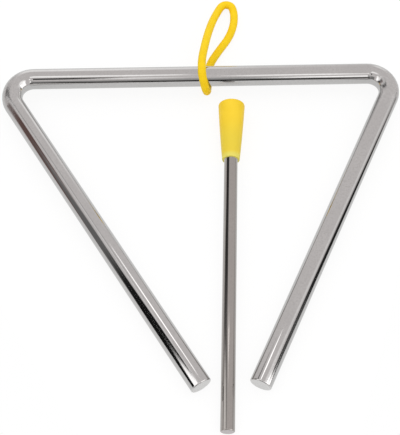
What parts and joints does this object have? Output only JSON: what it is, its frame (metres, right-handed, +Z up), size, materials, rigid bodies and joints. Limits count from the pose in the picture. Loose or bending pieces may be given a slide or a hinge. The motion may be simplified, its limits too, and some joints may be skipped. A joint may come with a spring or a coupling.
{
  "type": "triangle instrument",
  "caption": "Struck triangle of bent bright rod, open at a corner, with a cord ring to hang it by and a straight metal beater with a tapered plastic grip.",
  "frame": {"origin": "on the table, under the middle of the outline of the triangle and its beater as they lie", "axes": "+Z up from the table, +X along the closed side of the triangle, +Y from the open corner to that side"},
  "size_m": [0.1556, 0.1861, 0.015],
  "materials": {
    "bright_rod": "polished plate on steel",
    "yellow_cord": "satin",
    "yellow_grip": "satin gloss"
  },
  "bodies": {
    "triangle": {"triangle_rod": "bright_rod"},
    "loop": {"hanging_loop": "yellow_cord"},
    "beater": {"beater_rod": "bright_rod", "beater_grip": "yellow_grip"}
  },
  "joints": [
    {"name": "loop_swing", "type": "hinge", "parent": "triangle", "child": "loop", "pos_m": [0.00168, 0.07017, 0.0075], "axis": [1, 0, 0], "range_deg": [0, 180]},
    {"name": "beater_lift", "type": "slide", "parent": "triangle", "child": "beater", "axis": [0, 0, 1], "range_m": [0, 0.12]}
  ]
}
